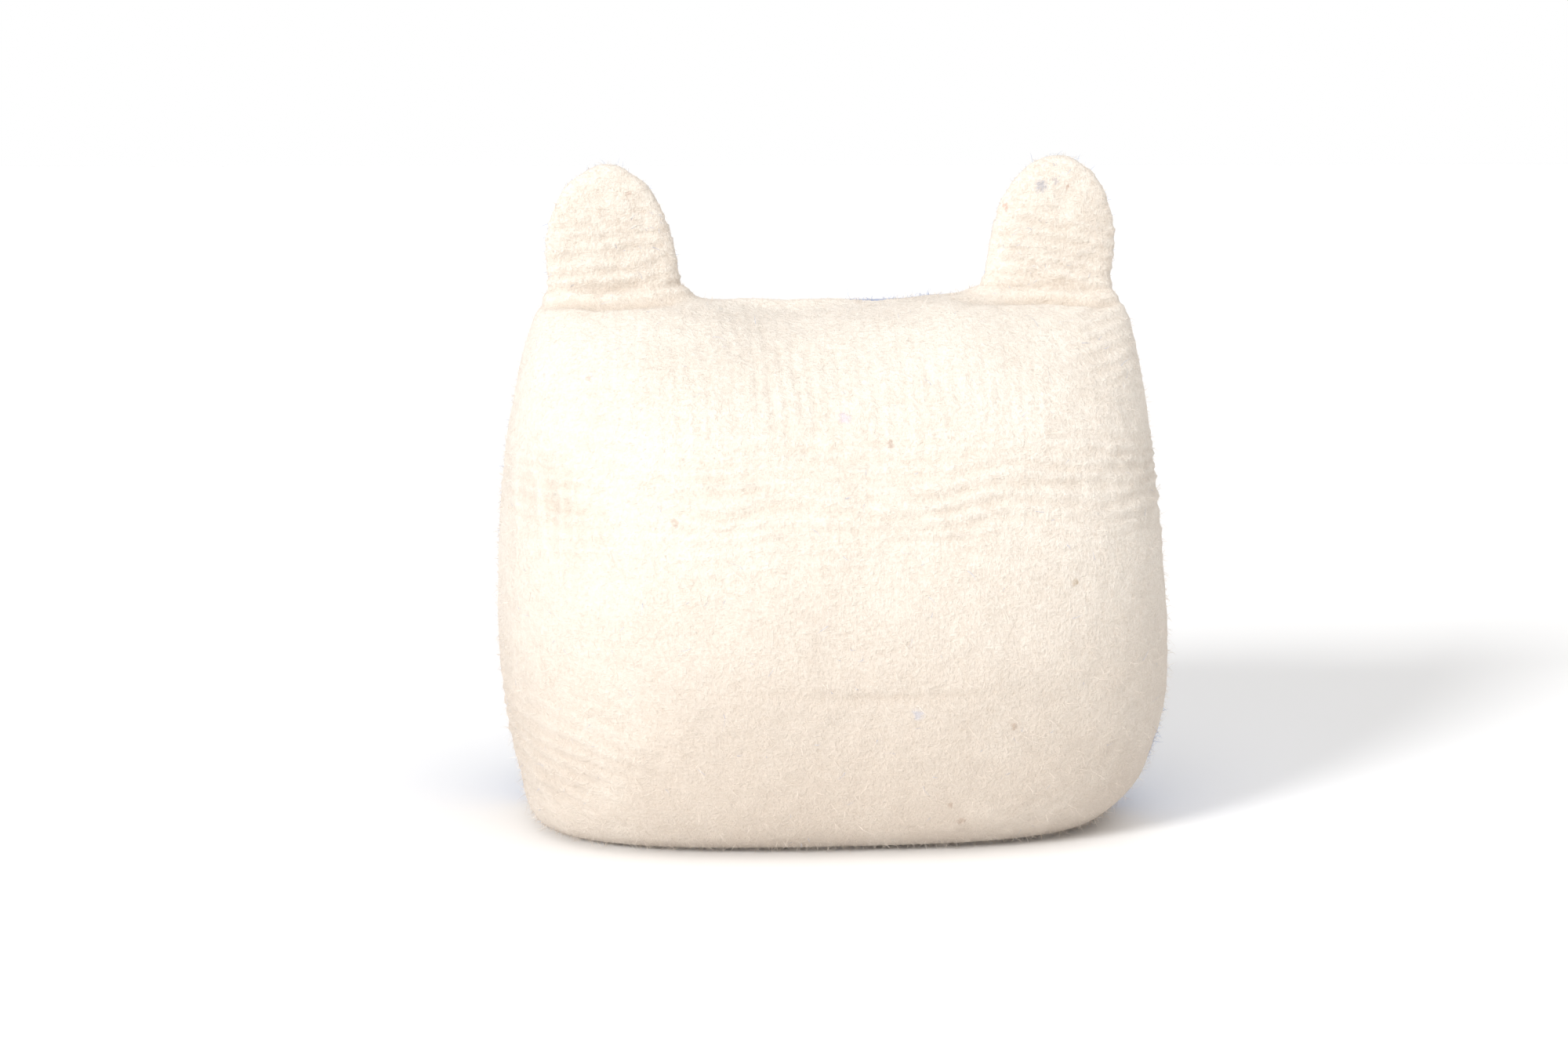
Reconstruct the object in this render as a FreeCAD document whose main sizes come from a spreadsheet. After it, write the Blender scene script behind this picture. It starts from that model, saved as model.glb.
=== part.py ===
"""Felted wool pet cave with two folding ears and a loose cushion inside.

The cave is a soft dome on a flat base, built in wool layers: structural felt laid on the back, the
front and the floor, and over it a finer natural layer on the back and base and a dyed one on the
front. Each ear is two felt layers that fold about the crease at its foot. The cushion is a stuffed
cover with piping round its seam, and it lifts off the cave's floor.

Frame: millimetres, +Z up, the origin at the centre of the base on the floor, +X across the front
and the entrance facing -Y.
"""

import FreeCAD, Part
import math
import os
import Sketcher
from FreeCAD import Vector

# Driving dimensions, in millimetres, with what each one is.
DIMENSIONS = [
    ("foot_half_width", 176, "half width of the patch that rests on the floor"),
    ("foot_half_depth", 92, "half depth of that patch"),
    ("belly_half_width", 230, "half width at the widest level"),
    ("belly_half_depth", 180, "half depth at that level"),
    ("belly_height", 149, "height of the widest level"),
    ("dome_height", 214, "from the widest level to the crown"),
    ("crown_narrowing", 32, "how much narrower the crown is than the belly, each side"),
    ("corner_share", 0.78, "plan corner radius as a share of the half depth"),
    ("wool_layer", 2.5, "thickness of an outer wool layer"),
    ("shell_wall", 6, "thickness of the structural felt"),
    ("bond_gap", 0.1, "between two bonded layers"),
    ("layer_split", -4, "plane where the back and front wool layers meet, along Y"),
    ("shell_split", 16, "the same for the structural felt, so the two joins are staggered"),
    ("base_layer_height", 9, "how far the base layer comes up the side"),
    ("entrance_half_width", 100, "half width of the entrance inside its lip"),
    ("entrance_half_height", 88, "half height of the entrance inside its lip"),
    ("entrance_corner", 84, "corner radius of the entrance"),
    ("entrance_height", 152, "height of the entrance's centre"),
    ("lip_width", 6, "width of the felted lip round the entrance"),
    ("lip_proud", 1.5, "how far the lip stands out of each face"),
    ("ear_offset", 150, "from the middle to the centre of an ear's foot"),
    ("ear_half_width", 48, "half width of an ear's foot"),
    ("ear_tip_radius", 40, "radius of an ear's blunt tip"),
    ("ear_tip_lean", 6, "how far the tip leans outwards"),
    ("ear_layer", 8, "thickness of one ear layer"),
    ("ear_edge_radius", 7.5, "rounding of an ear's edge"),
    ("ear_clearance", 0.4, "between an ear's foot and the crown"),
    ("right_ear_height", 87, "from the fold to the tip of the right ear"),
    ("left_ear_height", 93, "from the fold to the tip of the left ear"),
    ("cushion_flat_half_width", 142, "half width of the cushion's flat faces"),
    ("cushion_flat_half_depth", 84, "half depth of the cushion's flat faces"),
    ("cushion_bulge_width", 37, "from the flat face's end to the seam, along X"),
    ("cushion_bulge_depth", 36, "from the flat face's side to the seam, along Y"),
    ("cushion_half_thickness", 22.5, "half the thickness of the cushion"),
    ("cushion_corner_share", 0.68, "plan corner radius as a share of its half depth"),
    ("cushion_clearance", 0.4, "between the cushion and the cave's floor"),
    ("cover_thickness", 1.2, "thickness of the cushion's cloth"),
    ("cover_gap", 0.1, "between two plies of the cover"),
    ("flap_overlap", 30, "how far each bottom flap passes the middle"),
    ("piping_radius", 2.5, "radius of the piping round the seam"),
]

# Where the sections of a dome lie: angles from the floor up to the belly, then up to the crown.
BOWL_ANGLES = (0, 24, 48, 70, 90)
DOME_ANGLES = (22, 42, 58, 70, 80, 87)
CUSHION_ANGLES = (-90, -60, -30, 0, 30, 60, 90)
# A region box reaches this far, well past every part of the object.
FAR = 600
PARTS_FOLDER = "parts"

doc = FreeCAD.newDocument("PetCave")


def make_sheet():
    """The spreadsheet of driving dimensions: its name, value and meaning on each row."""
    sheet = doc.addObject("Spreadsheet::Sheet", "Dims")
    for row, (alias, value, meaning) in enumerate(DIMENSIONS, start=1):
        sheet.set(f"A{row}", alias)
        sheet.set(f"B{row}", str(value))
        sheet.set(f"C{row}", meaning)
        sheet.setAlias(f"B{row}", alias)
    doc.recompute()
    return sheet


def named(expression):
    """The expression with each driving dimension's name qualified by the sheet it is in."""
    for alias in sorted((d[0] for d in DIMENSIONS), key=len, reverse=True):
        expression = expression.replace(f"[{alias}]", f"Dims.{alias}")
    return expression


def plane(body, role):
    """One of the body's own origin planes."""
    return next(f for f in body.Origin.OriginFeatures if f.Role == role)


def new_body(label):
    body = doc.addObject("PartDesign::Body", label)
    body.Label = label
    return body


def new_sketch(body, name, role, up="0", across="0"):
    """A sketch on an origin plane, lifted off it by up and shifted within it by across."""
    sketch = body.newObject("Sketcher::SketchObject", name)
    sketch.AttachmentSupport = (plane(body, role), [""])
    sketch.MapMode = "FlatFace"
    sketch.setExpression("AttachmentOffset.Base.z", named(up))
    sketch.setExpression("AttachmentOffset.Base.y", named(across))
    return sketch


def drive(sketch, constraint, expression):
    """Adds a dimension to the sketch and binds it to an expression of the sheet."""
    index = sketch.addConstraint(constraint)
    sketch.setExpression(f"Constraints[{index}]", named(expression))


def value_of(sketch, expression):
    return float(sketch.evalExpression(named(expression)))


def add_rounded_rectangle(sketch, half_width, half_depth, corner):
    """A centred rectangle with four equal round corners: four lines, then four arcs."""
    a, b, r = (value_of(sketch, e) for e in (half_width, half_depth, corner))
    x, y = a - r, b - r
    first = sketch.GeometryCount
    runs = [
        ((-x, -b), (x, -b)),
        ((a, -y), (a, y)),
        ((x, b), (-x, b)),
        ((-a, y), (-a, -y)),
    ]
    for start, end in runs:
        sketch.addGeometry(Part.LineSegment(Vector(*start, 0), Vector(*end, 0)))
    quarter = math.pi / 2
    for turn, centre in enumerate([(x, -y), (x, y), (-x, y), (-x, -y)], start=-1):
        circle = Part.Circle(Vector(*centre, 0), Vector(0, 0, 1), r)
        sketch.addGeometry(
            Part.ArcOfCircle(circle, turn * quarter, (turn + 1) * quarter)
        )
    lines = [first + k for k in range(4)]
    arcs = [first + 4 + k for k in range(4)]
    for k in range(4):
        following = lines[(k + 1) % 4]
        sketch.addConstraint(Sketcher.Constraint("Tangent", lines[k], 2, arcs[k], 1))
        sketch.addConstraint(Sketcher.Constraint("Tangent", arcs[k], 2, following, 1))
    for k, way in enumerate(["Horizontal", "Vertical"] * 2):
        sketch.addConstraint(Sketcher.Constraint(way, lines[k]))
    for k in range(3):
        sketch.addConstraint(Sketcher.Constraint("Equal", arcs[k], arcs[k + 1]))
    centred = Sketcher.Constraint("Symmetric", lines[0], 1, lines[2], 1, -1, 1)
    sketch.addConstraint(centred)
    width = Sketcher.Constraint("DistanceX", lines[3], 1, lines[1], 1, 2 * a)
    depth = Sketcher.Constraint("DistanceY", lines[0], 1, lines[2], 1, 2 * b)
    drive(sketch, width, f"2 * ({half_width})")
    drive(sketch, depth, f"2 * ({half_depth})")
    drive(sketch, Sketcher.Constraint("Radius", arcs[0], r), corner)


def dome_sections(inset):
    """Height, half width, half depth and corner of each level of the cave, a wall's inset inside it.

    Below the belly the side is a quarter ellipse that meets the floor level; above it, another
    that closes over at the crown, where the width narrows slowly and then quicker.
    """
    for angle in BOWL_ANGLES:
        turn = f"{angle} deg"
        height = f"[belly_height] - ([belly_height] - ({inset})) * cos({turn})"
        width = (
            "[foot_half_width] + ([belly_half_width] - [foot_half_width]"
            f" - ({inset})) * sin({turn})"
        )
        depth = (
            "[foot_half_depth] + ([belly_half_depth] - [foot_half_depth]"
            f" - ({inset})) * sin({turn})"
        )
        yield height, width, depth, f"[corner_share] * ({depth})"
    for angle in DOME_ANGLES:
        turn = f"{angle} deg"
        height = f"[belly_height] + ([dome_height] - ({inset})) * sin({turn})"
        width = (
            f"[belly_half_width] - ({inset}) - [crown_narrowing] * sin({turn}) ^ 2.5"
        )
        depth = f"([belly_half_depth] - ({inset})) * cos({turn})"
        yield height, width, depth, f"[corner_share] * ({depth})"


def cushion_sections(inset):
    """The same for the cushion: flat faces joined by a round bulge that is widest at the seam."""
    seam = (
        "[wool_layer] + [bond_gap] + [shell_wall] + [cushion_clearance]"
        " + [cushion_half_thickness]"
    )
    for angle in CUSHION_ANGLES:
        turn = f"{angle} deg"
        height = f"{seam} + ([cushion_half_thickness] - ({inset})) * sin({turn})"
        width = (
            "[cushion_flat_half_width]"
            f" + ([cushion_bulge_width] - ({inset})) * cos({turn})"
        )
        depth = (
            "[cushion_flat_half_depth]"
            f" + ([cushion_bulge_depth] - ({inset})) * cos({turn})"
        )
        yield height, width, depth, f"[cushion_corner_share] * ({depth})"


def add_loft(body, sections, kind, name):
    """A smooth loft through rounded rectangles, added to the body or taken out of it."""
    sketches = []
    for k, (height, width, depth, corner) in enumerate(sections):
        sketch = new_sketch(body, f"{name}_section_{k}", "XY_Plane", up=height)
        add_rounded_rectangle(sketch, width, depth, corner)
        sketches.append(sketch)
    doc.recompute()
    loft = body.newObject(f"PartDesign::{kind}Loft", name)
    loft.Profile = sketches[0]
    loft.Sections = sketches[1:]
    loft.Ruled = False
    doc.recompute()
    return loft


def hollow_body(label, sections, outer_inset, inner_inset):
    """The skin between two insets of the same family of sections."""
    body = new_body(label)
    add_loft(body, sections(outer_inset), "Additive", f"{label}_outside")
    add_loft(body, sections(inner_inset), "Subtractive", f"{label}_inside")
    return body


def entrance_prism(label, grow):
    """The solid that the entrance is cut with, from the middle of the cave out past its front."""
    body = new_body(label)
    sketch = new_sketch(body, f"{label}_outline", "XZ_Plane", across="[entrance_height]")
    add_rounded_rectangle(
        sketch,
        f"[entrance_half_width] + {grow}",
        f"[entrance_half_height] + {grow}",
        f"[entrance_corner] + {grow}",
    )
    doc.recompute()
    pad = body.newObject("PartDesign::Pad", f"{label}_pad")
    pad.Profile = sketch
    pad.setExpression("Length", named("1.5 * [belly_half_depth]"))
    doc.recompute()
    return body


def region(label, low, high):
    """A plain box between two corners, each given as three expressions."""
    box = doc.addObject("Part::Box", label)
    for key, size, start, end in zip("xyz", ("Length", "Width", "Height"), low, high):
        box.setExpression(f"Placement.Base.{key}", named(start))
        box.setExpression(size, named(f"({end}) - ({start})"))
    return box


def boolean(kind, label, base, tool):
    """A Part::Cut or Part::Common of two objects, with the piece's own name."""
    result = doc.addObject(f"Part::{kind}", label)
    result.Label = label
    result.Base = base
    result.Tool = tool
    return result


def split_layer(blank, bore, split, names):
    """One hollow layer in its three parts: the back, the front round the entrance, and the base.

    The back and front part at the plane y = split, and the base is all that lies under its height.
    """
    back_name, front_name, base_name = names
    far, near = str(FAR), str(-FAR)
    above_base = "[base_layer_height] + [bond_gap]"
    behind = region(
        f"{back_name}_region",
        (near, f"{split} + [bond_gap]", above_base),
        (far, far, far),
    )
    before = region(f"{front_name}_region", (near, near, above_base), (far, split, far))
    below = region(
        f"{base_name}_region", (near, near, near), (far, far, "[base_layer_height]")
    )
    back = boolean("Common", back_name, blank, behind)
    front_blank = boolean("Common", f"{front_name}_blank", blank, before)
    front = boolean("Cut", front_name, front_blank, bore)
    base = boolean("Common", base_name, blank, below)
    return [back, front, base]


def make_cave():
    """The structural felt, the finer wool layers over it and the lip of the entrance."""
    under_layer = "[wool_layer] + [bond_gap]"
    whole_wall = f"{under_layer} + [shell_wall]"
    bore = entrance_prism("entrance_bore", "[lip_width] + [bond_gap]")
    shell = hollow_body("shell_blank", dome_sections, under_layer, whole_wall)
    wool = hollow_body("wool_blank", dome_sections, "0", "[wool_layer]")
    pieces = split_layer(
        shell, bore, "[shell_split]", ["shell_back", "shell_front", "shell_floor"]
    )
    pieces += split_layer(
        wool,
        bore,
        "[layer_split]",
        ["back_wool_layer", "front_wool_layer", "base_wool_layer"],
    )
    rolled = hollow_body(
        "lip_blank", dome_sections, "-[lip_proud]", f"{whole_wall} + [lip_proud]"
    )
    plug = boolean("Common", "lip_plug", rolled, entrance_prism("lip_rim", "[lip_width]"))
    lip = boolean("Cut", "entrance_lip", plug, entrance_prism("entrance_hole", "0"))
    return pieces + [lip]


def add_ear_outline(sketch, height, lean):
    """A blunt lobe: a straight foot, two sides and a round tip that both sides run into."""
    foot, deep, tip = (
        value_of(sketch, e) for e in ("[ear_half_width]", "[ear_layer]", "[ear_tip_radius]")
    )
    rise, shift = value_of(sketch, height) - tip, value_of(sketch, lean)
    centre = Vector(shift, rise, 0)
    circle = Part.Circle(centre, Vector(0, 0, 1), tip)
    touch = [centre + Vector(side * tip, 0, 0) for side in (1, -1)]
    corners = [Vector(-foot, -deep, 0), Vector(foot, -deep, 0)]
    sketch.addGeometry(Part.LineSegment(corners[0], corners[1]))
    sketch.addGeometry(Part.LineSegment(corners[1], touch[0]))
    sketch.addGeometry(Part.ArcOfCircle(circle, 0, math.pi))
    sketch.addGeometry(Part.LineSegment(touch[1], corners[0]))
    foot_line, inner_side, arc, outer_side = range(4)
    joined = [
        ("Coincident", foot_line, 2, inner_side, 1),
        ("Tangent", inner_side, 2, arc, 1),
        ("Tangent", arc, 2, outer_side, 1),
        ("Coincident", outer_side, 2, foot_line, 1),
        ("Symmetric", foot_line, 1, foot_line, 2, -2),
    ]
    for facts in joined:
        sketch.addConstraint(Sketcher.Constraint(*facts))
    width = Sketcher.Constraint("DistanceX", foot_line, 1, foot_line, 2, 2 * foot)
    below = Sketcher.Constraint("DistanceY", foot_line, 1, -1, 1, deep)
    across = Sketcher.Constraint("DistanceX", -1, 1, arc, 3, shift)
    above = Sketcher.Constraint("DistanceY", -1, 1, arc, 3, rise)
    drive(sketch, width, "2 * [ear_half_width]")
    drive(sketch, below, "[ear_layer]")
    drive(sketch, across, lean)
    drive(sketch, above, f"({height}) - [ear_tip_radius]")
    drive(sketch, Sketcher.Constraint("Radius", arc, tip), "[ear_tip_radius]")


def outer_loop(shape, depth):
    """The names of the edges that lie in the plane y = depth."""
    names = []
    for k, edge in enumerate(shape.Edges, start=1):
        box = edge.BoundBox
        if max(abs(box.YMin - depth), abs(box.YMax - depth)) < 0.01:
            names.append(f"Edge{k}")
    return names


def make_ear_layer(label, side, height, behind):
    """One felt layer of an ear, on the back or the front of the fold axis through its foot."""
    body = new_body(label)
    sketch = new_sketch(body, f"{label}_outline", "XZ_Plane")
    add_ear_outline(sketch, height, f"{side} * [ear_tip_lean]")
    doc.recompute()
    pad = body.newObject("PartDesign::Pad", f"{label}_pad")
    pad.Profile = sketch
    pad.setExpression("Length", named("[ear_layer]"))
    pad.Reversed = behind
    doc.recompute()
    box = pad.Shape.BoundBox
    rounding = body.newObject("PartDesign::Fillet", f"{label}_edge")
    rounding.Base = (pad, outer_loop(pad.Shape, box.YMax if behind else box.YMin))
    rounding.setExpression("Radius", named("[ear_edge_radius]"))
    body.setExpression("Placement.Base.x", named(f"{side} * [ear_offset]"))
    gap = "0.5 * [bond_gap]"
    body.setExpression("Placement.Base.y", named(gap if behind else f"-{gap}"))
    body.setExpression(
        "Placement.Base.z",
        named("[belly_height] + [dome_height] + [ear_clearance] + [ear_layer]"),
    )
    doc.recompute()
    return body


def make_ears():
    ears = []
    for name, side in (("right", 1), ("left", -1)):
        for layer, behind in (("back", True), ("front", False)):
            label = f"{name}_ear_{layer}_felt"
            height = f"[{name}_ear_height]"
            ears.append(make_ear_layer(label, side, height, behind))
    return ears


def make_piping():
    """A cord laid round the cushion's seam, against the cover."""
    body = new_body("cushion_piping")
    seam_height, width, depth, _ = list(cushion_sections("0"))[len(CUSHION_ANGLES) // 2]
    path = new_sketch(body, "piping_path", "XY_Plane", up=seam_height)
    clear = "[piping_radius] + [cover_gap]"
    add_rounded_rectangle(
        path,
        f"{width} + {clear}",
        f"{depth} + {clear}",
        f"[cushion_corner_share] * ({depth}) + {clear}",
    )
    section = new_sketch(body, "piping_section", "YZ_Plane", across=seam_height)
    start = value_of(section, f"{depth} + {clear}")
    radius = value_of(section, "[piping_radius]")
    section.addGeometry(Part.Circle(Vector(-start, 0, 0), Vector(0, 0, 1), radius))
    level = Sketcher.Constraint("PointOnObject", 0, 3, -1)
    section.addConstraint(level)
    reach = Sketcher.Constraint("DistanceX", 0, 3, -1, 1, start)
    drive(section, reach, f"{depth} + {clear}")
    drive(section, Sketcher.Constraint("Radius", 0, radius), "[piping_radius]")
    doc.recompute()
    pipe = body.newObject("PartDesign::AdditivePipe", "piping_sweep")
    pipe.Profile = section
    pipe.Spine = path
    doc.recompute()
    return body


def make_cushion():
    """The stuffing, the cover's top panel, its two overlapping bottom flaps and the piping."""
    ply = "[cover_thickness] + [cover_gap]"
    stuffing = new_body("cushion_stuffing")
    add_loft(stuffing, cushion_sections(f"2 * ({ply})"), "Additive", "stuffing_loft")

    outer = hollow_body("outer_ply", cushion_sections, "0", "[cover_thickness]")
    inner = hollow_body("inner_ply", cushion_sections, ply, f"{ply} + [cover_thickness]")
    seam = list(cushion_sections("0"))[len(CUSHION_ANGLES) // 2][0]
    far, near = str(FAR), str(-FAR)
    above = region("above_seam", (near, near, f"{seam} + [cover_gap]"), (far, far, far))
    front_half = region(
        "front_flap_side", (near, near, near), (far, "[flap_overlap]", seam)
    )
    rear_half = region(
        "rear_flap_side", (near, "-[flap_overlap]", near), (far, far, seam)
    )
    top = boolean("Common", "cushion_top_panel", outer, above)
    front = boolean("Common", "cushion_front_flap", outer, front_half)
    rear = boolean("Common", "cushion_rear_flap", inner, rear_half)
    return [stuffing, top, front, rear, make_piping()]


def check(pieces):
    """Stops with a plain message if anything failed to compute or isn't a sound solid."""
    for thing in doc.Objects:
        if {"Invalid", "Error"} & set(thing.State):
            raise RuntimeError(f"{thing.Name} did not compute: {thing.State}")
    for piece in pieces:
        shape = piece.Shape
        if shape.isNull() or not shape.isValid() or not shape.Solids:
            raise RuntimeError(f"{piece.Label} is not a valid solid")
        print(
            f"{piece.Label}: {len(shape.Solids)} solid, {shape.Volume / 1000:.1f} cm3,"
            f" {shape.BoundBox}"
        )


make_sheet()
pieces = make_cave() + make_ears() + make_cushion()
doc.recompute()
check(pieces)
os.makedirs(PARTS_FOLDER, exist_ok=True)
for piece in pieces:
    piece.Shape.exportStep(os.path.join(PARTS_FOLDER, f"{piece.Label}.step"))
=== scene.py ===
"""A felted wool pet cave, seen from behind: natural wool over a dyed front, two upright ears and a
piped cushion inside. All lengths are in metres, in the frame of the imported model.
"""

import math

import bpy
import numpy as np
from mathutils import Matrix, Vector, noise


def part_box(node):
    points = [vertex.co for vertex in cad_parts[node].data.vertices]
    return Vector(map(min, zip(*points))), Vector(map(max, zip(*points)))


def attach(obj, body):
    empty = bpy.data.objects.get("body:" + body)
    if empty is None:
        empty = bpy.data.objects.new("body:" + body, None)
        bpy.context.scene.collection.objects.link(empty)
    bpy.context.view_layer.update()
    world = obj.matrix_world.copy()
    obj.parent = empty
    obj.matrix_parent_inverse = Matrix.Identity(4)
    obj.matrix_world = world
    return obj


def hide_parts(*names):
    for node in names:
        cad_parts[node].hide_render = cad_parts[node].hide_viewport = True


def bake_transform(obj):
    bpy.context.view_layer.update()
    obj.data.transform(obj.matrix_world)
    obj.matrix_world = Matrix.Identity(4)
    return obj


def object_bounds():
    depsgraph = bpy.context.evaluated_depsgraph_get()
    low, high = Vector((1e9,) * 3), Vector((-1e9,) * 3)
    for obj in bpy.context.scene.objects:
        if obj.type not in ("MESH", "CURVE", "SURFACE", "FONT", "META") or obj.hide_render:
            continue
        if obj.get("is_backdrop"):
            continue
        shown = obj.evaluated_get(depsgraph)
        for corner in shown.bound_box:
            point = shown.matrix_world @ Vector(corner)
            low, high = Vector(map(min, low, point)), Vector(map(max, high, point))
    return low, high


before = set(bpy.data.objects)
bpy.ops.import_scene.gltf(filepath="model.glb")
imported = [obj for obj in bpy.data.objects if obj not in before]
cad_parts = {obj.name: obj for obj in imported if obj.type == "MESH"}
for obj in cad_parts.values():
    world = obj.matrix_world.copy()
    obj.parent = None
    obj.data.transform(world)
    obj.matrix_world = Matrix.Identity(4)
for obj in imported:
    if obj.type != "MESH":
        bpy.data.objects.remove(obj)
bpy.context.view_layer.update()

QUARTER = math.pi / 2
VOXEL = 0.0029  # side of the felt skin's quads
random = np.random.default_rng(11)

# The cave's main sizes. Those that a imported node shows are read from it.
_, wool_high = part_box("back_wool_layer")
lip_low, lip_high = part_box("entrance_lip")
HALF_WIDTH = wool_high.x
HALF_DEPTH = wool_high.y
CROWN = wool_high.z
BELLY = 0.149  # the height where the cave is widest
FOOT_HALF_WIDTH = 0.182
FOOT_HALF_DEPTH = 0.094
WALL = 0.0086
LIP_REACH = 0.006  # how far the rolled lip stands out from the entrance's edge
ENTRANCE_POWER = 2.15
ENTRANCE_HEIGHT = (lip_low.z + lip_high.z) / 2
ENTRANCE_HALF_WIDTH = lip_high.x - LIP_REACH
ENTRANCE_HALF_HEIGHT = (lip_high.z - lip_low.z) / 2 - LIP_REACH
EAR_CUT = CROWN + 0.004  # above this an ear's skin is its own piece


# ---------------------------------------------------------------- helpers


def new_mesh(name, points, faces):
    """A mesh object in the scene from its points and its faces."""
    mesh = bpy.data.meshes.new(name)
    mesh.from_pydata([tuple(p) for p in points], [], [tuple(f) for f in faces])
    mesh.update()
    thing = bpy.data.objects.new(name, mesh)
    bpy.context.scene.collection.objects.link(thing)
    return thing


def coordinates(thing):
    points = np.empty(len(thing.data.vertices) * 3)
    thing.data.vertices.foreach_get("co", points)
    return points.reshape(-1, 3)


def set_coordinates(thing, points):
    thing.data.vertices.foreach_set("co", points.astype(np.float32).ravel())
    thing.data.update()


def vertex_normals(thing):
    normals = np.empty(len(thing.data.vertices) * 3)
    thing.data.vertex_normals.foreach_get("vector", normals)
    return normals.reshape(-1, 3)


def quads_of(thing):
    """The four corners of every face of a mesh that has only quads."""
    corners = np.empty(len(thing.data.loops), np.int64)
    thing.data.loops.foreach_get("vertex_index", corners)
    return corners.reshape(-1, 4)


def smooth_step(x, start, end):
    """0 before start, 1 after end and a smooth ramp between; start may be above end."""
    share = np.clip((x - start) / (end - start), 0, 1)
    return share * share * (3 - 2 * share)


def bell(x, centre, width):
    """A bell of height 1 at centre, down to about a third at a distance of width."""
    return np.exp(-(((x - centre) / width) ** 2))


def grain(points, wavelength, seed):
    """Smooth noise between about -1 and 1; wavelength is its size along x, y and z."""
    stretched = points / np.asarray(wavelength) + np.array([17.3, -9.1, 5.7]) * seed
    return np.array([noise.noise(p) for p in stretched])


def activate(thing):
    for other in bpy.context.selected_objects:
        other.select_set(False)
    thing.select_set(True)
    bpy.context.view_layer.objects.active = thing


def joined(name, things):
    """One object that holds every given object's mesh."""
    activate(things[0])
    for thing in things[1:]:
        thing.select_set(True)
    bpy.ops.object.join()
    things[0].name = name
    return things[0]


def apply_modifier(thing, kind, **settings):
    modifier = thing.modifiers.new(kind, kind)
    for key, value in settings.items():
        setattr(modifier, key, value)
    activate(thing)
    bpy.ops.object.modifier_apply(modifier=modifier.name)


def relax(thing, weights, rounds):
    """Moves each vertex towards the middle of its neighbours, as far as its weight says."""
    pairs = np.empty(len(thing.data.edges) * 2, np.int64)
    thing.data.edges.foreach_get("vertices", pairs)
    one, other = pairs.reshape(-1, 2).T
    points = coordinates(thing)
    count = len(points)
    neighbours = np.bincount(one, minlength=count) + np.bincount(other, minlength=count)
    for _ in range(rounds):
        total = np.empty_like(points)
        for axis in range(3):
            total[:, axis] = np.bincount(one, points[other, axis], count)
            total[:, axis] += np.bincount(other, points[one, axis], count)
        points += (total / neighbours[:, None] - points) * weights[:, None]
    set_coordinates(thing, points)


def closed_rings(name, rings):
    """A closed mesh through rings of equal length, with a cap over the first and the last."""
    count = len(rings[0])
    points = [point for ring in rings for point in ring]
    faces = []
    for level in range(len(rings) - 1):
        low, high = level * count, (level + 1) * count
        for k in range(count):
            following = (k + 1) % count
            faces.append((low + k, low + following, high + following, high + k))
    faces.append(tuple(reversed(range(count))))
    faces.append(tuple(range((len(rings) - 1) * count, len(rings) * count)))
    return new_mesh(name, points, faces)


# ---------------------------------------------------------------- the cave's form


def soft_rectangle(half_width, half_depth, count, power=2.9):
    """Points round a soft rectangle: a circle at power 2, squarer at higher powers."""
    turn = np.linspace(0, 2 * math.pi, count, endpoint=False)
    cosine, sine = np.cos(turn), np.sin(turn)
    x = half_width * np.sign(cosine) * np.abs(cosine) ** (2 / power)
    y = half_depth * np.sign(sine) * np.abs(sine) ** (2 / power)
    return x, y


def cave_rings(inset):
    """The cave's outline at each level from its floor to its crown, inset from its outside.

    The side on -X is a little fuller than the other, low down and at the crown's corner.
    """
    levels = []
    for angle in np.linspace(0, QUARTER, 30):
        share = math.sin(angle) ** 0.85
        height = BELLY - (BELLY - inset) * math.cos(angle)
        width = FOOT_HALF_WIDTH + (HALF_WIDTH - FOOT_HALF_WIDTH - inset) * share
        depth = FOOT_HALF_DEPTH + (HALF_DEPTH - FOOT_HALF_DEPTH - inset) * share
        levels.append((height, width, width, depth))
    for angle in np.linspace(0, QUARTER * 0.985, 34)[1:]:
        sine = math.sin(angle)
        height = BELLY + (CROWN - BELLY - inset) * sine
        right = HALF_WIDTH - inset - 0.031 * sine**2.5
        left = HALF_WIDTH - inset - 0.0215 * sine**1.7
        levels.append((height, right, left, (HALF_DEPTH - inset) * math.cos(angle)))
    rings = []
    for height, right, left, depth in levels:
        left += 0.006 * bell(height, 0.085, 0.06) - 0.0075 * bell(height, 0.006, 0.022)
        right += 0.0075 * bell(height, 0.006, 0.022)
        x, y = soft_rectangle(1, depth, 112)
        x = np.where(x > 0, x * right, x * left)
        rise = smooth_step(height, BELLY, CROWN) ** 2
        sag = -0.004 * bell(x, 0.03, 0.06) - 0.003 * bell(x, 0.03, 0.03)
        lift = 0.004 * smooth_step(np.abs(x), 0.055, 0.115) + 0.0045 * bell(x, -0.08, 0.024)
        z = height + rise * (sag + lift)
        rings.append(list(zip(x, y, z)))
    return rings


EAR_HALF_WIDTH = 0.045
EAR_HALF_THICKNESS = 0.0105
EAR_ROUNDING = 0.066  # how far below its tip an ear reaches its full width
EARS = {
    "right_ear": {"node": "right_ear_back_felt", "side": 1, "shift": 0.0, "spread": 0.021},
    "left_ear": {"node": "left_ear_back_felt", "side": -1, "shift": 0.0065, "spread": 0.026},
}
for ear in EARS.values():
    low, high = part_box(ear["node"])
    ear["centre"] = (low.x + high.x) / 2 + ear["side"] * ear["shift"]
    ear["top"] = high.z - 0.002


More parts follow.
